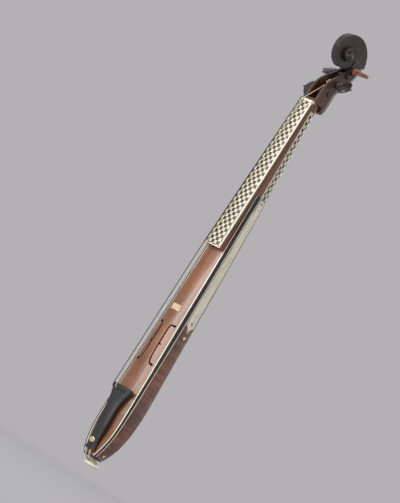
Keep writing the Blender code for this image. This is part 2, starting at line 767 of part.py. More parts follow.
def make_neck(wood):
    """Neck core: a block inside the body, the neck under its staves and the bare heel."""
    cover = STAVE_THICKNESS + GAP
    joint = LINE_WIDTH / 2 + GAP

    def neck_ring(z, bare):
        front = front_edge(z)
        front.y += GAP
        side = corner(z, 1)
        edge_dir = (side - front).normalized()
        above = side - edge_dir * joint
        if bare:
            sunk = [above + edge_dir * joint * 0.5]
            depth = 0.0
        else:
            inward = Vector((edge_dir.y, -edge_dir.x)) * cover
            sunk = [above - edge_dir * 3 * GAP - inward]
            depth = cover
        right = [Vector((p.x, p.y, z)) for p in (front, above, *sunk)]
        right += [section_point(z, 1, s, depth) for s in (0.3, 0.65, 0.98)]
        right += [section_point(z, 2, s, depth) for s in (0.25, 0.5)]
        return right + [Vector((-p.x, p.y, p.z)) for p in reversed(right[:-1])]

    def inner_ring(z):
        depth = STAVE_THICKNESS + GAP
        front = BODY_FRONT_Y + BOARD_THICKNESS + GAP
        reach = half_width(z) - depth - SIDE_CURVE
        right = [Vector((reach, y, z)) for y in (front, front + GAP, front + 2 * GAP)]
        right += [section_point(z, 1, s, depth) for s in (0.3, 0.65, 0.98)]
        right += [section_point(z, 2, s, depth) for s in (0.25, 0.5)]
        return right + [Vector((-p.x, p.y, p.z)) for p in reversed(right[:-1])]

    low = BODY_TOP - NECK_BLOCK_LENGTH
    rings = [inner_ring(z) for z in (low, mix(low, BODY_TOP, 0.5), BODY_TOP)]
    rings += [neck_ring(z, False) for z in stations(NECK_BOTTOM, HEEL_Z - GAP)]
    rings += [neck_ring(z, True) for z in (HEEL_Z, FINGERBOARD_TOP)]
    neck = loft("neck_core", rings, wood)
    return neck


def make_heel(wood):
    """Part of the neck that stands under the nut, up to the head."""
    side = corner(NECK_TOP, 1)
    back = corner(NECK_TOP, 2)
    depth = section_point(NECK_TOP, 2, 0.5, 0.0).y
    front = NUT_FOOT_Y + GAP
    outline = [(side.x, front), (side.x, side.y), (back.x, back.y), (0, depth)]
    outline += [(-x, y) for x, y in reversed(outline[:-1])]
    rings = [[Vector((x, y, z)) for x, y in outline] for z in (FINGERBOARD_TOP + GAP, NECK_TOP)]
    return loft("neck_heel", rings, wood)


def make_neck_veneers(chequer):
    """Chequered staves round the neck, from the body to the heel."""
    joint = LINE_WIDTH / 2 + GAP
    heights = stations(NECK_BOTTOM, HEEL_Z - GAP)
    on_both_sides("neck_stave", stave_rings(1, heights, STAVE_THICKNESS, joint, joint, 3), chequer)
    loft("neck_back_stave", stave_rings(2, heights, STAVE_THICKNESS, joint, joint, 4), chequer)


def make_fingerboard(wood, chequer, ivory):
    """Wedge of wood, the chequered plate on it, ivory edges and an ivory strip at its end."""
    low, high = FINGERBOARD_BOTTOM, FINGERBOARD_TOP
    heights = [mix(low, high, i / 4) for i in range(5)]
    ledge = VENEER_THICKNESS + GAP
    core = []
    for z in heights:
        half = fingerboard_half_width(z)
        xs = [half * i / 3 for i in range(-3, 4)]
        top = [Vector((x, fingerboard_y(z, x) + ledge, z)) for x in xs]
        seat = [Vector((x, fingerboard_seat_y(z), z)) for x in (half, -half)]
        core.append(top + seat)
    loft("fingerboard", core, wood)
    plate_low = low + END_STRIP_HEIGHT + GAP

    def plate_rings(bottom, top, inner, outer, count, thickness=VENEER_THICKNESS):
        rings = []
        for i in range(5):
            z = mix(bottom, top, i / 4)
            half = fingerboard_half_width(z)
            xs = [mix(inner(half), outer(half), j / count) for j in range(count + 1)]
            ring = [Vector((x, fingerboard_y(z, x), z)) for x in xs]
            ring += [Vector((x, fingerboard_y(z, x) + thickness, z)) for x in reversed(xs)]
            rings.append(ring)
        return rings

    field = FINGERBOARD_EDGE_WIDTH + GAP
    loft("fingerboard_plate", plate_rings(plate_low, high, lambda h: field - h, lambda h: h - field, 6), chequer)
    edges = plate_rings(plate_low, high, lambda h: h - FINGERBOARD_EDGE_WIDTH, lambda h: h, 1)
    on_both_sides("fingerboard_edge", edges, ivory)
    strip = plate_rings(low, low + END_STRIP_HEIGHT, lambda h: -h, lambda h: h, 6)
    loft("fingerboard_end", [strip[0], strip[-1]], ivory)


def nut_y(x):
    """Front of the nut: it stands a little over the fingerboard's curve."""
    edge = FINGERBOARD_HIGH_Y - NUT_RISE
    return edge - FINGERBOARD_CAMBER * (1 - (x / NUT_HALF_WIDTH) ** 2)


def make_nut(ivory):
    rings = []
    low = FINGERBOARD_TOP + GAP
    for share, drop in ((0.0, 0.0), (0.5, 0.0), (1.0, NUT_RISE * 2)):
        z = low + NUT_THICKNESS * share
        xs = [NUT_HALF_WIDTH * i / 6 for i in range(-6, 7)]
        ring = [Vector((x, nut_y(x) + drop, z)) for x in xs]
        ring += [Vector((x, NUT_FOOT_Y, z)) for x in (NUT_HALF_WIDTH, -NUT_HALF_WIDTH)]
        rings.append(ring)
    loft("nut", rings, ivory)


# Head


HEAD_FRONT = ((PEGBOX_FRONT_Y + 0.0003, -0.0028), (PEGBOX_FRONT_Y, 0.0020), (PEGBOX_FRONT_Y, 0.0100),
              (PEGBOX_FRONT_Y + 0.0015, 0.0211), (-0.0045, 0.0291), (0.0012, 0.0367), (0.0074, 0.0447))
HEAD_BACK = ((0.0008, -0.0057), (0.0085, -0.0046), (PEGBOX_BACK_Y, 0.0050), (PEGBOX_BACK_Y, 0.0180),
             (0.0138, 0.0265), (0.0185, 0.0350), (0.0224, 0.0450))
HEAD_TAPER = ((0, 1.0), (0.45, 1.0), (0.75, 0.86), (1, 0.68))
CAVITY_FLOOR = ((0, 0.66), (0.35, 0.74), (0.6, 0.81), (0.8, 0.76), (1, 0.60))
SCROLL_WIDTHS = ((0, 0.655), (0.5, 0.417), (1, 0.595), (1.75, 0.821), (2.5, 0.905))


def scroll_radius(turn):
    return SCROLL_RADIUS * SCROLL_SHRINK ** turn


def scroll_half_width(turn):
    return EYE_HALF_WIDTH * smooth_curve(SCROLL_WIDTHS, turn)


def head_line(points, t):
    """Point (y, z) at share t of the pegbox's front or back line, which ends at the scroll."""
    end_radius = scroll_radius(1.0) if points is HEAD_FRONT else scroll_radius(0.0)
    places = [*points, (EYE_Y + end_radius, EYE_HEIGHT)]
    last = len(places) - 1
    ys = [(i / last, p[0]) for i, p in enumerate(places)]
    zs = [(i / last, HEAD_BASE + p[1]) for i, p in enumerate(places)]
    return Vector((smooth_curve(ys, t), smooth_curve(zs, t)))


def head_half_width(t):
    return CHEEK_HALF_WIDTH * smooth_curve(HEAD_TAPER, t)


def make_head(wood):
    """Pegbox with its open cavity, and the scroll that it ends in."""
    rings = []
    steps = 14
    for i in range(steps + 1):
        t = i / steps
        rings.append(pegbox_ring(head_line(HEAD_FRONT, t), head_line(HEAD_BACK, t), head_half_width(t)))
    inside = math.radians(24)
    turn = inside / (2 * math.pi)
    direction = Vector((math.cos(inside), math.sin(inside)))
    eye = Vector((EYE_Y, EYE_Z))
    margin = 3 * GAP
    inner = eye + direction * (scroll_radius(1 + turn) + margin)
    outer = eye + direction * (scroll_radius(turn) - margin)
    rings.append(pegbox_ring(inner, outer, scroll_half_width(turn) - margin - SCROLL_GROOVE))
    head = loft("head", rings, wood)
    scroll = make_cutter("scroll_shape", scroll_mesh())
    boolean(head, scroll, "UNION")
    boolean(head, make_cutter("pegbox_cavity", cavity_mesh()))
    boolean(head, make_cutter("head_seat", head_seat_mesh()))
    for name, (y, height, side, _) in PEG_PLACES.items():
        boolean(head, make_cutter("peg_hole_" + name, peg_hole_mesh(y, height, side)))
    return head


def pegbox_ring(front, back, half):
    shares = ((1.0, 0.0), (1.0, 0.72), (0.84, 0.92), (0.40, 1.0))
    right = [(half * wide, front + (back - front) * deep) for wide, deep in shares]
    ring = [Vector((x, p.x, p.y)) for x, p in right]
    return ring + [Vector((-x, p.x, p.y)) for x, p in reversed(right)]


def scroll_mesh():
    """Disc whose outline and raised steps follow one spiral on both sides."""
    count = round(SCROLL_STEPS * SCROLL_TURNS)
    lap = SCROLL_STEPS

    def place(radius, index, x):
        angle = 2 * math.pi * index / lap
        return Vector((x, EYE_Y + radius * math.cos(angle), EYE_Z + radius * math.sin(angle)))

    corners = []
    faces = []
    edges = {}
    feet = {}
    for side in (1, -1):
        for i in range(count + 1):
            edges[side, i] = len(corners)
            corners.append(place(scroll_radius(i / lap), i, side * scroll_half_width(i / lap)))
        for i in range(lap, count + 1):
            feet[side, i] = len(corners)
            foot = scroll_half_width((i - lap) / lap) - SCROLL_GROOVE
            radius = scroll_radius(i / lap) * 1.04
            corners.append(place(radius, i, side * min(foot, scroll_half_width(i / lap) - GAP / 2)))
        for i in range(count - lap):
            faces.append((edges[side, i], edges[side, i + 1], feet[side, i + lap + 1], feet[side, i + lap]))
        for i in range(lap, count):
            faces.append((feet[side, i], feet[side, i + 1], edges[side, i + 1], edges[side, i]))
        eye = len(corners)
        corners.append(Vector((side * EYE_HALF_WIDTH, EYE_Y, EYE_Z)))
        for i in range(count - lap, count):
            faces.append((eye, edges[side, i], edges[side, i + 1]))
        faces.append((eye, edges[side, count], feet[side, count]))
        faces.append((eye, feet[side, count], edges[side, count - lap]))
    for i in range(lap):
        faces.append((edges[1, i], edges[1, i + 1], edges[-1, i + 1], edges[-1, i]))
    faces.append((edges[1, 0], feet[1, lap], edges[1, lap], edges[-1, lap], feet[-1, lap], edges[-1, 0]))
    return mesh_from_faces("scroll", corners, faces)


def cavity_mesh():
    """Trough that opens to the front, with a floor along the pegbox's back."""
    rings = []
    first, last, steps = 0.17, 0.86, 8
    for i in range(steps + 1):
        t = mix(first, last, i / steps)
        front, back = head_line(HEAD_FRONT, t), head_line(HEAD_BACK, t)
        along = (back - front).normalized()
        reach = mix(0.009, 0.0012, (i / steps) ** 0.6)
        floor = front + (back - front) * smooth_curve(CAVITY_FLOOR, i / steps)
        half = head_half_width(t) - CHEEK_THICKNESS
        outer = front - along * reach
        rings.append([Vector((x, p.x, p.y)) for x, p in
                      ((half, outer), (half, floor), (-half, floor), (-half, outer))])
    return loft_mesh("cavity", rings)


def head_seat_mesh():
    """Room for the top of the neck in front of the pegbox's chin."""
    wide = 2 * CHEEK_HALF_WIDTH
    back = section_point(NECK_TOP, 2, 0.5, 0.0).y + GAP
    corners = [(-wide, 2 * PEGBOX_FRONT_Y), (wide, 2 * PEGBOX_FRONT_Y), (wide, back), (-wide, back)]
    low = HEEL_Z - HEEL_LENGTH
    return loft_mesh("seat", [[Vector((x, y, z)) for x, y in corners] for z in (low, HEAD_BASE)])


def shaft_radius(along, side):
    """Radius of a peg's shaft at X = along, for a head on that side."""
    share = (along * side + CHEEK_HALF_WIDTH) / (2 * CHEEK_HALF_WIDTH)
    return mix(PEG_TIP_RADIUS, PEG_SHAFT_RADIUS, share)


def peg_hole_mesh(y, height, side):
    reach = 1.5 * CHEEK_HALF_WIDTH
    profile = [(x, shaft_radius(x * side, side) + GAP) for x in (-reach, reach)]
    return turned_mesh("peg_hole", profile, 20, (0, y, HEAD_BASE + height), (side, 0, 0))


def peg_profile():
    """(along, half height, half thickness) of a peg, from its tip to the pip on its head."""
    tip = -CHEEK_HALF_WIDTH - PEG_TIP_STAND
    cheek = CHEEK_HALF_WIDTH + GAP
    rows = [(tip, PEG_TIP_RADIUS * 0.8, PEG_TIP_RADIUS * 0.8), (tip + GAP, PEG_TIP_RADIUS, PEG_TIP_RADIUS)]
    rows += [(cheek, PEG_SHAFT_RADIUS, PEG_SHAFT_RADIUS)]
    rows += [(cheek + GAP, PEG_COLLAR_RADIUS, PEG_COLLAR_RADIUS)]
    rows += [(cheek + 4 * GAP, PEG_COLLAR_RADIUS, PEG_COLLAR_RADIUS)]
    blade = cheek + PEG_NECK_LENGTH
    rows += [(blade - 4 * GAP, PEG_SHAFT_RADIUS * 0.82, PEG_SHAFT_RADIUS * 0.78)]
    for i in range(9):
        share = (1 - math.cos(math.pi * (i + 0.55) / 9.1)) / 2
        swell = math.sin(math.pi * share ** 0.92) ** 0.62
        height = max(PEG_BLADE_HALF_HEIGHT * swell, PEG_PIP_RADIUS)
        thickness = PEG_BLADE_HALF_THICKNESS * mix(1.0, 0.62, share)
        rows.append((blade + PEG_BLADE_LENGTH * share, height, min(thickness, height)))
    end = blade + PEG_BLADE_LENGTH
    pip = PEG_PIP_RADIUS
    rows += [(end, pip * 0.7, pip * 0.7), (end + pip * 0.6, pip, pip), (end + pip * 1.6, pip * 0.8, pip * 0.8)]
    rows += [(end + pip * 2, pip * 0.3, pip * 0.3)]
    return rows


def make_peg(name, y, height, side, turn, wood):
    """Tapered peg whose origin lies on its own axis, in the middle of the pegbox."""
    segments = 16
    rings = []
    blade_up = Vector((0, math.sin(math.radians(turn)), math.cos(math.radians(turn))))
    across = Vector((side, 0, 0)).cross(blade_up)
    for along, high, thick in peg_profile():
        ring = []
        for i in range(segments):
            angle = 2 * math.pi * i / segments
            ring.append(Vector((side * along, 0, 0)) + blade_up * high * math.cos(angle)
                        + across * thick * math.sin(angle))
        rings.append(ring)
    peg = loft("peg_" + name, rings, wood)
    peg.location = (0, y, HEAD_BASE + height)
    return peg


# Strings


def tangent_point(point, centre, radius):
    """Where a line from point first touches the front of a circle, both in (y, z)."""
    to_point = point - centre
    distance = to_point.length
    angle = math.atan2(to_point.y, to_point.x)
    offset = math.acos(radius / distance)
    choices = [centre + radius * Vector((math.cos(a), math.sin(a))) for a in (angle - offset, angle + offset)]
    return min(choices, key=lambda p: p.x)


def winding_radius(x, side):
    return shaft_radius(x, side) + GAP + STRING_RADIUS


def string_rest_y(surface_y):
    return surface_y - STRING_RADIUS - GAP


def string_end_on_peg(nut_point, peg, x):
    """The string's last stretch: it meets the shaft and bends a quarter turn round it."""
    y, height, side, _ = PEG_PLACES[peg]
    centre = Vector((y, HEAD_BASE + height))
    radius = winding_radius(x, side)
    touch = tangent_point(Vector((nut_point.y, nut_point.z)), centre, radius)
    start = math.atan2(touch.y - centre.y, touch.x - centre.x)
    points = []
    for i in range(5):
        angle = start - math.radians(80) * i / 4
        points.append(Vector((x, centre.x + radius * math.cos(angle), centre.y + radius * math.sin(angle))))
    return points


def string_points(nut_x, board_x, tail_x, peg_x, peg, tail_end):
    """Route of one string from the tailpiece over the fingerboard's end and the nut to its peg."""
    low = FINGERBOARD_BOTTOM
    on_board = Vector((board_x, string_rest_y(fingerboard_y(low, board_x)), low + GAP))
    nut_low = FINGERBOARD_TOP + GAP
    on_nut = [Vector((nut_x, string_rest_y(nut_y(nut_x)), nut_low + NUT_THICKNESS * s)) for s in (0.1, 0.6)]
    over_tail = Vector((tail_x, string_rest_y(tail_y(TAIL_TOP_Z, tail_x)), TAIL_TOP_Z + GAP))
    end = string_end_on_peg(on_nut[1], peg, peg_x)
    return [*tail_end, over_tail, on_board, *on_nut, *end]


def winding_points(peg, first_x, turns, direction):
    """Helix on a peg's shaft beside its string, and the angle where it starts."""
    y, height, side, _ = PEG_PLACES[peg]
    centre = Vector((0, y, HEAD_BASE + height))
    steps = 24
    points = []
    for i in range(turns * steps + 1):
        x = first_x + direction * WINDING_PITCH * (1 + i / steps)
        radius = winding_radius(x, side)
        angle = math.pi - 2 * math.pi * i / steps
        points.append(centre + Vector((x, radius * math.cos(angle), radius * math.sin(angle))))
    least = min((points[i] - points[j]).length for i in range(len(points))
                for j in range(i + steps // 2, len(points))) - 2 * STRING_RADIUS
    print(f"winding on peg {peg}: least gap to itself {least * 1000:.2f} mm")
    return points, centre


def make_strings(dark, gut):
    """The two strings that are left, and the turns of each on its peg."""
    hole_z = TAIL_TOP_Z - TAIL_HOLE_DROP
    hole_x = TAIL_HOLE_X[0]
    face = tail_y(hole_z, hole_x)
    light_end = [Vector((hole_x, face + TAIL_THICKNESS * 0.9, hole_z)),
                 Vector((hole_x, face - 0.5 * STRING_RADIUS, hole_z + GAP)),
                 Vector((mix(hole_x, LIGHT_TAIL_X, 0.4), string_rest_y(face), hole_z + 4 * GAP))]
    light = string_points(LIGHT_NUT_X, LIGHT_BOARD_X, LIGHT_TAIL_X, LIGHT_PEG_X, "treble_lower", light_end)
    tube("string_light", light, STRING_RADIUS, gut)
    dark_route = string_points(DARK_NUT_X, DARK_BOARD_X, DARK_TAIL_X, DARK_PEG_X, "bass_lower", dark_tail_end())
    tube("string_dark", dark_route, STRING_RADIUS, dark)
    for name, peg, x, turns, direction, material in (
            ("winding_dark", "bass_lower", DARK_PEG_X, DARK_TURNS, 1, dark),
            ("winding_light", "treble_lower", LIGHT_PEG_X, LIGHT_TURNS, -1, gut)):
        points, centre = winding_points(peg, x, turns, direction)
        tube(name, points, STRING_RADIUS, material, 1, centre)


def dark_tail_end():
    """The dark string is hooked round the tailpiece's bass shoulder and ends behind it."""
    clear = STRING_RADIUS + GAP
    z = TAIL_TOP_Z - TAIL_HOLE_DROP
    side = tail_half_width(z)
    face = tail_y(z, -side)
    back = face + TAIL_THICKNESS
    return [Vector((-side * 0.86, back + clear, z)), Vector((-side, back + clear, z)),
            Vector((-side - clear, back, z)), Vector((-side - clear, face, z + GAP)),
            Vector((mix(-side, DARK_TAIL_X, 0.5), string_rest_y(face), z + 4 * GAP))]


# Tailpiece


def tail_share(z):
    return (z - TAIL_BOTTOM_Z) / (TAIL_TOP_Z - TAIL_BOTTOM_Z)


def tail_half_width(z):
    foot, waist, top = TAIL_FOOT_HALF_WIDTH, TAIL_WAIST_HALF_WIDTH, TAIL_TOP_HALF_WIDTH
    outline = ((0, foot * 1.08), (0.1, foot), (0.25, foot * 1.03), (0.42, waist * 0.97), (0.6, waist),
               (0.75, waist * 1.13), (0.88, mix(waist, top, 0.57)), (1, top))
    return smooth_curve(outline, tail_share(z))


def tail_y(z, x):
    outline = ((0, TAIL_BOTTOM_Y), (0.5, TAIL_MIDDLE_Y), (1, TAIL_TOP_Y))
    edge = smooth_curve(outline, tail_share(z))
    return edge - TAIL_CAMBER * max(0.0, 1 - (x / tail_half_width(z)) ** 2)


def make_tailpiece(ebony, pearl, gut):
    """Ebony tailpiece with four string holes, its inlay and the gut loop to the button."""
    rings = []
    for i in range(13):
        z = mix(TAIL_BOTTOM_Z, TAIL_TOP_Z, i / 12)
        half = tail_half_width(z)
        xs = [half * s for s in (-1, -0.88, -0.5, 0, 0.5, 0.88, 1)]
        edge = tail_y(z, half) + TAIL_CAMBER * 0.25
        top = [Vector((x, edge if abs(x) == half else tail_y(z, x), z)) for x in xs]
        back = edge + TAIL_THICKNESS - TAIL_CAMBER * 0.25
        rings.append(top + [Vector((half, back, z)), Vector((-half, back, z))])
    tail = loft("tailpiece", rings, ebony)
    z = TAIL_TOP_Z - TAIL_HOLE_DROP
    for i, x in enumerate(TAIL_HOLE_X):
        profile = ((-2 * TAIL_THICKNESS, TAIL_HOLE_RADIUS), (3 * TAIL_THICKNESS, TAIL_HOLE_RADIUS))
        mesh = turned_mesh("tail_hole", profile, 12, (x, tail_y(z, x), z), (0, 1, 0))
        boolean(tail, make_cutter(f"tail_hole_{i}", mesh))
    for side in (-1, 1):
        start = gut_seat(side)
        profile = ((-5 * GUT_RADIUS, GUT_RADIUS + GAP), (6 * GUT_RADIUS, GUT_RADIUS + GAP))
        mesh = turned_mesh("gut_hole", profile, 12, start, (0, 0, 1))
        boolean(tail, make_cutter(f"gut_hole_{side}", mesh))
    make_tail_inlay(pearl)
    make_tail_gut(gut)


def make_tail_inlay(pearl):
    """Small oval set on the tailpiece's lower end."""
    rings = []
    for stand, size in ((0.0, 1.0), (TAIL_INLAY_STAND * 0.6, 0.95), (TAIL_INLAY_STAND, 0.6)):
        ring = []
        for i in range(16):
            angle = 2 * math.pi * i / 16
            x = TAIL_INLAY_HALF_WIDTH * size * math.cos(angle)
            z = TAIL_INLAY_Z + TAIL_INLAY_HALF_HEIGHT * size * math.sin(angle)
            ring.append(Vector((x, tail_y(z, x) - 2 * GAP - stand, z)))
        rings.append(ring)
    loft("tailpiece_inlay", rings, pearl)


def gut_seat(side):
    """Middle of the tailpiece's lower edge where the gut comes out."""
    y = tail_y(TAIL_BOTTOM_Z, GUT_SPREAD) + TAIL_THICKNESS * 0.55
    return Vector((side * GUT_SPREAD, y, TAIL_BOTTOM_Z))


def make_tail_gut(gut):
    """One loop of gut: out of the tailpiece, over the end plate and round the button's neck."""
    clear = GUT_RADIUS + GAP
    plate_front = BODY_FRONT_Y + END_PLATE_INSET
    middle = COLLAR_Z - BUTTON_NECK_LENGTH / 2
    round_button = BUTTON_NECK_RADIUS + clear
    half = []
    for side in (1,):
        start = gut_seat(side)
        half = [start + Vector((0, 0, 3 * GUT_RADIUS)), start - Vector((0, 0, GUT_RADIUS))]
        half.append(Vector((GUT_SPREAD, plate_front - clear * 2.2, END_PLATE_Z + END_PLATE_THICKNESS * 0.8)))
        half.append(Vector((GUT_SPREAD, plate_front - clear * 0.6, END_PLATE_Z - GAP)))
        half.append(Vector((mix(GUT_SPREAD, round_button, 0.3), plate_front * 0.78, mix(END_PLATE_Z, middle, 0.7))))
        half.append(Vector((mix(GUT_SPREAD, round_button, 0.8), plate_front * 0.45, mix(END_PLATE_Z, middle, 0.95))))
        for i in range(5):
            angle = math.radians(-12 + 102 * i / 4)
            half.append(Vector((round_button * math.cos(angle), round_button * math.sin(angle), middle)))
    other = [Vector((-p.x, p.y, p.z)) for p in reversed(half[:-1])]
    tube("tail_gut", half + other, GUT_RADIUS, gut)


def main():
    for thing in list(bpy.data.objects):
        bpy.data.objects.remove(thing, do_unlink=True)
    look = make_materials()
    make_soundboard(look["board_wood"])
    make_edge_lines(look["ivory"])
    make_ribs(look["ebony"])
    make_stave_lines(look["ivory"])
    make_staves(look["body_wood"], look["ivory"])
    make_linings(look["inner_wood"])
    make_end_block(look["inner_wood"])
    make_sound_post(look["inner_wood"])
    make_end_plate(look["ebony"])
    make_button(look["ivory"])
    make_label(look["paper"])
    make_neck(look["neck_wood"])
    make_heel(look["neck_wood"])
    make_neck_veneers(look["chequer"])
    make_fingerboard(look["neck_wood"], look["chequer"], look["ivory"])
    make_nut(look["ivory"])
    make_head(look["head_wood"])
    for name, (y, height, side, turn) in PEG_PLACES.items():
        make_peg(name, y, height, side, turn, look["peg_brown" if name == "treble_upper" else "peg_wood"])
    make_strings(look["dark_string"], look["gut"])
    make_tailpiece(look["ebony"], look["pearl"], look["gut"])


main()
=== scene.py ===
# Scene for the pochette: finishes, inlays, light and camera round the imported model.
import json
import math

import bmesh
import bpy
from mathutils import Matrix, Vector

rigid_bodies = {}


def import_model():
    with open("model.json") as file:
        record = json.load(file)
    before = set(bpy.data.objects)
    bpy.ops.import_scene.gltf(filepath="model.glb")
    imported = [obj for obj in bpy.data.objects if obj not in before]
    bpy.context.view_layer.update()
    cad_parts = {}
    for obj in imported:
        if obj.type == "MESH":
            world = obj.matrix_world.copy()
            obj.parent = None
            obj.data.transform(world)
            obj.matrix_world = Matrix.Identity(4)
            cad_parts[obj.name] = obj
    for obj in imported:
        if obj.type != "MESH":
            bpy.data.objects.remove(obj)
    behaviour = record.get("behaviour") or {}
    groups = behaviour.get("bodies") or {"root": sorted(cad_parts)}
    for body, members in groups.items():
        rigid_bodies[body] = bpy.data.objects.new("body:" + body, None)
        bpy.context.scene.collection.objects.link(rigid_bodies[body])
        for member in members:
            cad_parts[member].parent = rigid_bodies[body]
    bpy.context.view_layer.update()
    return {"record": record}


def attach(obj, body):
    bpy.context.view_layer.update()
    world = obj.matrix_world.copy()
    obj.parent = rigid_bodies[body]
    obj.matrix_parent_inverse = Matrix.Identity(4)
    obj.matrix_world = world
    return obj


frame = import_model()


def newMaterial(name, roughness, coat=0.0):
    material = bpy.data.materials.new(name)
    material.use_nodes = True
    shader = material.node_tree.nodes["Principled BSDF"]
    shader.inputs["Roughness"].default_value = roughness
    shader.inputs["Coat Weight"].default_value = coat
    shader.inputs["Coat Roughness"].default_value = 0.15
    return material, material.node_tree.nodes, material.node_tree.links, shader


def stretched(nodes, links, scale, shift=(0, 0, 0)):
    # object coordinates in metres, stretched so that one unit is one grain or square
    place = nodes.new("ShaderNodeTexCoord")
    mapping = nodes.new("ShaderNodeMapping")
    mapping.inputs["Location"].default_value = shift
    mapping.inputs["Scale"].default_value = scale
    links.new(place.outputs["Object"], mapping.inputs["Vector"])
    return mapping.outputs["Vector"]


def addNoise(nodes, links, vector, detail=4.0):
    noise = nodes.new("ShaderNodeTexNoise")
    noise.inputs["Scale"].default_value = 1.0
    noise.inputs["Detail"].default_value = detail
    links.new(vector, noise.inputs["Vector"])
    return noise.outputs["Fac"]


def addRamp(nodes, links, value, stops):
    ramp = nodes.new("ShaderNodeValToRGB")
    while len(ramp.color_ramp.elements) < len(stops):
        ramp.color_ramp.elements.new(0.5)
    for element, (place, colour) in zip(ramp.color_ramp.elements, stops):
        element.position = place
        element.color = (*colour, 1.0)
    links.new(value, ramp.inputs["Fac"])
    return ramp.outputs["Color"]


def addMix(nodes, links, value, first, second, kind="MIX"):
    blend = nodes.new("ShaderNodeMix")
    blend.data_type = "RGBA"
    blend.blend_type = kind
    if isinstance(value, float):
        blend.inputs["Factor"].default_value = value
    else:
        links.new(value, blend.inputs["Factor"])
    links.new(first, blend.inputs["A"])
    links.new(second, blend.inputs["B"])
    return blend.outputs["Result"]


def addBump(nodes, links, shader, value, strength, distance):
    bump = nodes.new("ShaderNodeBump")
    bump.inputs["Strength"].default_value = strength
    bump.inputs["Distance"].default_value = distance
    links.new(value, bump.inputs["Height"])
    links.new(bump.outputs["Normal"], shader.inputs["Normal"])


def roughnessFrom(nodes, links, shader, value, low, high):
    spread = nodes.new("ShaderNodeMapRange")
    spread.inputs["To Min"].default_value = low
    spread.inputs["To Max"].default_value = high
    links.new(value, spread.inputs["Value"])
    links.new(spread.outputs["Result"], shader.inputs["Roughness"])


# what all woods share: scales are per metre, stops are (place, colour) along each ramp
wood = {
    "grainDetail": 6.0, "grainBump": 0.25, "grainDepth": 0.0002,
    "patchScale": (60, 60, 25), "patchDetail": 3.0,
    "patchStops": ((0.35, (0.62, 0.58, 0.55)), (0.65, (1.15, 1.12, 1.1))),
    "flameAcross": 40, "flameDetail": 2.0, "flameStrength": 0.75,
    "flameStops": ((0.42, (0.5, 0.42, 0.4)), (0.58, (1.25, 1.2, 1.15))),
    "fadeShade": 0.5, "glossier": 0.08, "duller": 0.12,
}


def woodFinish(name, look):
    material, nodes, links, shader = newMaterial(name, look["rough"], coat=look["coat"])
    grain = addNoise(nodes, links, stretched(nodes, links, look["grain"]), wood["grainDetail"])
    patches = addNoise(nodes, links, stretched(nodes, links, wood["patchScale"]), wood["patchDetail"])
    grainStops = ((0.3, look["dark"]), (0.55, look["middle"]), (0.75, look["light"]))
    colour = addRamp(nodes, links, grain, grainStops)
    worn = addRamp(nodes, links, patches, wood["patchStops"])
    colour = addMix(nodes, links, 1.0, colour, worn, "MULTIPLY")
    if look.get("flame"):
        flameScale = (wood["flameAcross"], wood["flameAcross"], look["flame"])
        flame = addNoise(nodes, links, stretched(nodes, links, flameScale), wood["flameDetail"])
        bands = addRamp(nodes, links, flame, wood["flameStops"])
        colour = addMix(nodes, links, wood["flameStrength"], colour, bands, "MULTIPLY")
    if look.get("fade"):  # warmer wood low on the piece, from one height to another
        low, high, warmColour = look["fade"]
        split = nodes.new("ShaderNodeSeparateXYZ")
        links.new(stretched(nodes, links, (1, 1, 1)), split.inputs["Vector"])
        height = nodes.new("ShaderNodeMapRange")
        height.inputs["From Min"].default_value = low
        height.inputs["From Max"].default_value = high
        links.new(split.outputs["Z"], height.inputs["Value"])
        shade = tuple(part * wood["fadeShade"] for part in warmColour)
        warm = addRamp(nodes, links, grain, ((0.3, shade), (0.7, warmColour)))
        colour = addMix(nodes, links, height.outputs["Result"], warm, colour)
    links.new(colour, shader.inputs["Base Color"])
    glossiest, dullest = look["rough"] - wood["glossier"], look["rough"] + wood["duller"]
    roughnessFrom(nodes, links, shader, patches, glossiest, dullest)
    addBump(nodes, links, shader, grain, wood["grainBump"], wood["grainDepth"])
    return material


woodLooks = {
    "boardWood": {"rough": 0.38, "coat": 0.3, "grain": (2400, 300, 14),
                  "dark": (0.15, 0.055, 0.02), "middle": (0.25, 0.095, 0.036), "light": (0.34, 0.14, 0.055)},
    "staveWood": {"rough": 0.32, "coat": 0.5, "grain": (900, 900, 30), "flame": 260,
                  "dark": (0.10, 0.028, 0.014), "middle": (0.20, 0.06, 0.025), "light": (0.31, 0.105, 0.045)},
    "neckWood": {"rough": 0.4, "coat": 0.2, "grain": (1200, 1200, 30),
                 "dark": (0.11, 0.035, 0.018), "middle": (0.20, 0.07, 0.03), "light": (0.28, 0.11, 0.05)},
    "headWood": {"rough": 0.36, "coat": 0.3, "grain": (1100, 500, 60),
                 "fade": (0.402, 0.442, (0.115, 0.042, 0.022)),
                 "dark": (0.012, 0.010, 0.010), "middle": (0.028, 0.018, 0.016),
                 "light": (0.07, 0.034, 0.024)},
    "innerWood": {"rough": 0.7, "coat": 0.0, "grain": (1200, 1200, 40),
                  "dark": (0.36, 0.24, 0.13), "middle": (0.48, 0.34, 0.20), "light": (0.58, 0.43, 0.27)},
    "ebonyWood": {"rough": 0.30, "coat": 0.2, "grain": (1500, 1500, 60),
                  "dark": (0.008, 0.008, 0.009), "middle": (0.015, 0.015, 0.017),
                  "light": (0.03, 0.03, 0.034)},
    "pegWood": {"rough": 0.28, "coat": 0.3, "grain": (300, 1500, 1500),
                "dark": (0.012, 0.008, 0.010), "middle": (0.028, 0.014, 0.018), "light": (0.06, 0.025, 0.03)},
    "pegBrown": {"rough": 0.28, "coat": 0.4, "grain": (300, 1500, 1500),
                 "dark": (0.15, 0.045, 0.018), "middle": (0.27, 0.09, 0.035), "light": (0.38, 0.15, 0.06)},
}


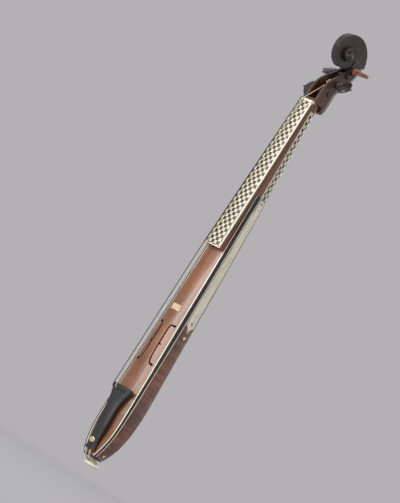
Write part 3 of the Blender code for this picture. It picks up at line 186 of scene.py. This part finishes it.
# what the smooth pale finishes share
pale = {
    "cloudDetail": 5.0, "stainScale": (900, 900, 300), "stainDetail": 6.0, "stainStrength": 0.6,
    "stainStops": ((0.3, (0.72, 0.66, 0.55)), (0.5, (1.0, 1.0, 1.0))),
    "stainBump": 0.15, "stainDepth": 0.0001, "glossier": 0.08, "duller": 0.12,
}


def paleFinish(name, look):
    material, nodes, links, shader = newMaterial(name, look["rough"], coat=look["coat"])
    cloud = addNoise(nodes, links, stretched(nodes, links, look["cloud"]), pale["cloudDetail"])
    stain = addNoise(nodes, links, stretched(nodes, links, pale["stainScale"]), pale["stainDetail"])
    colour = addRamp(nodes, links, cloud, ((0.3, look["dark"]), (0.7, look["light"])))
    dirt = addRamp(nodes, links, stain, pale["stainStops"])
    colour = addMix(nodes, links, pale["stainStrength"], colour, dirt, "MULTIPLY")
    links.new(colour, shader.inputs["Base Color"])
    glossiest, dullest = look["rough"] - pale["glossier"], look["rough"] + pale["duller"]
    roughnessFrom(nodes, links, shader, cloud, glossiest, dullest)
    addBump(nodes, links, shader, stain, pale["stainBump"], pale["stainDepth"])
    return material


paleLooks = {
    "ivoryFinish": {"rough": 0.32, "coat": 0.2, "cloud": (200, 200, 60),
                    "dark": (0.66, 0.59, 0.44), "light": (0.86, 0.81, 0.67)},
    "pearlFinish": {"rough": 0.25, "coat": 0.5, "cloud": (700, 700, 700),
                    "dark": (0.30, 0.19, 0.10), "light": (0.72, 0.60, 0.42)},
    "gutFinish": {"rough": 0.5, "coat": 0.1, "cloud": (1500, 1500, 300),
                  "dark": (0.42, 0.33, 0.19), "light": (0.70, 0.60, 0.40)},
    "darkStringFinish": {"rough": 0.4, "coat": 0.0, "cloud": (1500, 1500, 300),
                         "dark": (0.02, 0.018, 0.016), "light": (0.07, 0.06, 0.05)},
    "paperFinish": {"rough": 0.9, "coat": 0.0, "cloud": (500, 500, 500),
                    "dark": (0.50, 0.36, 0.20), "light": (0.74, 0.60, 0.40)},
}


# squares along the neck and columns across the fingerboard, in metres
chequer = {
    "square": 0.0035, "column": 0.0034, "rough": 0.34, "coat": 0.3, "roughRange": (0.26, 0.46),
    "cloudScale": (500, 500, 250), "cloudDetail": 5.0, "bump": 0.2, "depth": 0.0001,
    "paleStops": ((0.3, (0.50, 0.42, 0.28)), (0.7, (0.74, 0.68, 0.52))),
    "darkStops": ((0.3, (0.012, 0.010, 0.010)), (0.7, (0.05, 0.028, 0.02))),
}


def chequerFinish(name, look):
    material, nodes, links, shader = newMaterial(name, chequer["rough"], coat=chequer["coat"])
    squares = nodes.new("ShaderNodeTexChecker")
    squares.inputs["Scale"].default_value = 1.0
    links.new(stretched(nodes, links, look["scale"], look["shift"]), squares.inputs["Vector"])
    cloud = addNoise(nodes, links, stretched(nodes, links, chequer["cloudScale"]), chequer["cloudDetail"])
    paleSquares = addRamp(nodes, links, cloud, chequer["paleStops"])
    darkSquares = addRamp(nodes, links, cloud, chequer["darkStops"])
    colour = addMix(nodes, links, squares.outputs["Fac"], paleSquares, darkSquares)
    links.new(colour, shader.inputs["Base Color"])
    roughnessFrom(nodes, links, shader, cloud, *chequer["roughRange"])
    addBump(nodes, links, shader, squares.outputs["Fac"], chequer["bump"], chequer["depth"])
    return material


perSquare = 1 / chequer["square"]
chequerLooks = {
    "chequerFront": {"scale": (1 / chequer["column"], 0, perSquare), "shift": (0.5, 0.5, 0.15)},
    "chequerSide": {"scale": (0, perSquare, perSquare), "shift": (0.5, 0.25, 0.15)},
    "chequerBack": {"scale": (perSquare, 0, perSquare), "shift": (0.5, 0.5, 0.15)},
}

finishes = {}
for name, look in woodLooks.items():
    finishes[name] = woodFinish(name, look)
for name, look in paleLooks.items():
    finishes[name] = paleFinish(name, look)
for name, look in chequerLooks.items():
    finishes[name] = chequerFinish(name, look)
print("finishes made:", len(finishes))

slotFinishes = {
    "body_wood": "staveWood", "board_wood": "boardWood", "neck_wood": "neckWood", "head_wood": "headWood",
    "inner_wood": "innerWood", "ebony": "ebonyWood", "peg_wood": "pegWood", "peg_brown": "pegBrown",
    "ivory": "ivoryFinish", "chequer": "chequerFront", "pearl": "pearlFinish", "gut": "gutFinish",
    "dark_string": "darkStringFinish", "paper": "paperFinish",
}
nodeFinishes = {
    "neck_stave_treble": "chequerSide", "neck_stave_bass": "chequerSide", "neck_back_stave": "chequerBack",
}
for row in frame["record"]["subparts"]:
    node = bpy.data.objects[row["node"]]
    finish = finishes[nodeFinishes.get(row["node"], slotFinishes[row["material_slot"]])]
    if node.material_slots:
        node.material_slots[0].material = finish
    else:
        node.data.materials.append(finish)

# Dark trefoils and dots let into the ivory panels near both their ends
trefoil = {
    "leafRadius": 0.00085, "leafOffset": 0.00115, "leafAngles": (90, 210, 330), "dotRadius": 0.00075,
    "thickness": 0.00025, "sink": 0.00012, "edges": 14, "taper": 0.9,
    "nearby": 0.016, "lookFrom": 0.03,
}
panelSides = {  # the way each panel faces
    "panel_treble": Vector((0.97, 0.24, 0)), "panel_bass": Vector((-0.97, 0.24, 0)),
    "panel_back": Vector((0, 1, 0)),
}
# kind, height in metres, and 1 for a leaf that points to the scroll
inlayRows = (("trefoil", 0.2893, 1), ("dot", 0.2828, 1), ("trefoil", 0.1598, -1), ("dot", 0.1680, 1))


def surfacePlace(node, z, outward):
    # middle of the panel's outer face at this height, and the way it faces there
    near = [v.co for v in node.data.vertices if abs(v.co.z - z) < trefoil["nearby"]]
    middle = sum(near, Vector()) / len(near)
    start = Vector((middle.x, middle.y, z)) + outward * trefoil["lookFrom"]
    return node.ray_cast(start, -outward)[1:3]


def addDisc(shape, place, normal, offset, radius):
    up = Vector((0, 0, 1))
    side = up.cross(normal).normalized()
    rise = normal.cross(side)
    centre = place + side * offset[0] + rise * offset[1] - normal * trefoil["sink"]
    turn = Matrix((side, rise, normal)).transposed().to_4x4()
    bmesh.ops.create_cone(shape, cap_ends=True, segments=trefoil["edges"], radius1=radius,
                          radius2=radius * trefoil["taper"], depth=trefoil["thickness"],
                          matrix=Matrix.Translation(centre) @ turn)


for nodeName, outward in panelSides.items():
    panel = bpy.data.objects[nodeName]
    for count, (kind, z, upright) in enumerate(inlayRows):
        place, normal = surfacePlace(panel, z, outward)
        shape = bmesh.new()
        if kind == "dot":
            addDisc(shape, place, normal, (0, 0), trefoil["dotRadius"])
        else:
            away = trefoil["leafOffset"]
            for angle in map(math.radians, trefoil["leafAngles"]):
                offset = (away * math.cos(angle), away * upright * math.sin(angle))
                addDisc(shape, place, normal, offset, trefoil["leafRadius"])
        mesh = bpy.data.meshes.new(f"{nodeName}_{kind}_{count}")
        shape.to_mesh(mesh)
        shape.free()
        mesh.materials.append(finishes["ebonyWood"])
        inlay = bpy.data.objects.new(mesh.name, mesh)
        bpy.context.scene.collection.objects.link(inlay)
        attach(inlay, "root")
print("inlays set in the panels")

# Floor, room, lamps and camera
room = {
    "seenGrey": (0.45, 0.44, 0.455, 1), "lightColour": (0.72, 0.73, 0.75, 1), "light": 0.75,
    "floorDrop": 0.03, "floorSize": 60.0, "floorRough": 0.8, "floorPlain": 0.85,
    "dustScale": (6, 6, 6), "dustDetail": 3.0,
    "dustStops": ((0.3, (0.42, 0.42, 0.42)), (0.7, (0.46, 0.46, 0.46))),
}


def floorFinish():
    material, nodes, links, shader = newMaterial("floorPaper", room["floorRough"])
    dust = addNoise(nodes, links, stretched(nodes, links, room["dustScale"]), room["dustDetail"])
    links.new(addRamp(nodes, links, dust, room["dustStops"]), shader.inputs["Base Color"])
    # the camera sees mostly the room's plain grey on the floor, and a faint shadow
    plainGrey = nodes.new("ShaderNodeEmission")
    plainGrey.inputs["Color"].default_value = room["seenGrey"]
    cameraRay = nodes.new("ShaderNodeLightPath")
    share = nodes.new("ShaderNodeMath")
    share.operation = "MULTIPLY"
    share.inputs[1].default_value = room["floorPlain"]
    links.new(cameraRay.outputs["Is Camera Ray"], share.inputs[0])
    floorMix = nodes.new("ShaderNodeMixShader")
    links.new(share.outputs["Value"], floorMix.inputs["Fac"])
    links.new(shader.outputs["BSDF"], floorMix.inputs[1])
    links.new(plainGrey.outputs["Emission"], floorMix.inputs[2])
    links.new(floorMix.outputs["Shader"], nodes["Material Output"].inputs["Surface"])
    return material


def makeFloor():
    half, low = room["floorSize"] / 2, -room["floorDrop"]
    corners = [(-half, -half, low), (half, -half, low), (half, half, low), (-half, half, low)]
    mesh = bpy.data.meshes.new("floor")
    mesh.from_pydata(corners, [], [(0, 1, 2, 3)])
    mesh.materials.append(floorFinish())
    floor = bpy.data.objects.new("floor", mesh)
    bpy.context.scene.collection.objects.link(floor)


def makeRoom():
    world = bpy.data.worlds.new("paleRoom")
    bpy.context.scene.world = world
    world.use_nodes = True
    nodes, links = world.node_tree.nodes, world.node_tree.links
    light, seen = nodes["Background"], nodes.new("ShaderNodeBackground")
    light.inputs["Color"].default_value = room["lightColour"]
    light.inputs["Strength"].default_value = room["light"]
    seen.inputs["Color"].default_value = room["seenGrey"]
    cameraRay = nodes.new("ShaderNodeLightPath")
    choice = nodes.new("ShaderNodeMixShader")
    links.new(cameraRay.outputs["Is Camera Ray"], choice.inputs["Fac"])
    links.new(light.outputs["Background"], choice.inputs[1])
    links.new(seen.outputs["Background"], choice.inputs[2])
    links.new(choice.outputs["Shader"], nodes["World Output"].inputs["Surface"])


# angles in degrees, distances in metres, lens and sensor in millimetres
view = {
    "azimuth": 46.0, "elevation": -6.8, "roll": 31.94, "distance": 1.95,
    "lens": 150.07, "sensor": 36.0, "farthest": 20.0, "target": Vector((-0.0133, -0.0138, 0.2224)),
}
azimuth, elevation, roll = (math.radians(view[turn]) for turn in ("azimuth", "elevation", "roll"))
across = Vector((math.cos(azimuth), math.sin(azimuth), 0))
back = Vector((math.sin(azimuth) * math.cos(elevation), -math.cos(azimuth) * math.cos(elevation),
               math.sin(elevation)))
upward = back.cross(across)
right = across * math.cos(roll) + upward * math.sin(roll)
top = upward * math.cos(roll) - across * math.sin(roll)

lamps = {  # place from the target, size in metres, power in watts
    "keyLamp": {"place": right * -0.9 + top * 1.1 + back * 0.9, "size": 0.9, "power": 25.0},
    "fillLamp": {"place": right * 1.2 + top * 0.3 + back * 1.0, "size": 1.2, "power": 6.0},
    "rearLamp": {"place": Vector((-0.3, 1.4, 0.9)), "size": 1.2, "power": 7.0},
}


def makeLamps():
    for name, settings in lamps.items():
        light = bpy.data.lights.new(name, "AREA")
        light.size = settings["size"]
        light.energy = settings["power"]
        lamp = bpy.data.objects.new(name, light)
        lamp.location = view["target"] + settings["place"]
        lamp.rotation_euler = settings["place"].to_track_quat("Z", "Y").to_euler()
        bpy.context.scene.collection.objects.link(lamp)


def makeCamera():
    lens = bpy.data.cameras.new("photoCamera")
    lens.lens = view["lens"]
    lens.sensor_width = view["sensor"]
    lens.clip_end = view["farthest"]
    camera = bpy.data.objects.new("photoCamera", lens)
    turned = Matrix((right, top, back)).transposed().to_4x4()
    camera.matrix_world = Matrix.Translation(view["target"] + back * view["distance"]) @ turned
    bpy.context.scene.collection.objects.link(camera)
    bpy.context.scene.camera = camera


makeFloor()
makeRoom()
makeLamps()
makeCamera()
bpy.context.scene.view_settings.view_transform = "Standard"
print("floor, room, lamps and camera set")

bpy.context.view_layer.update()
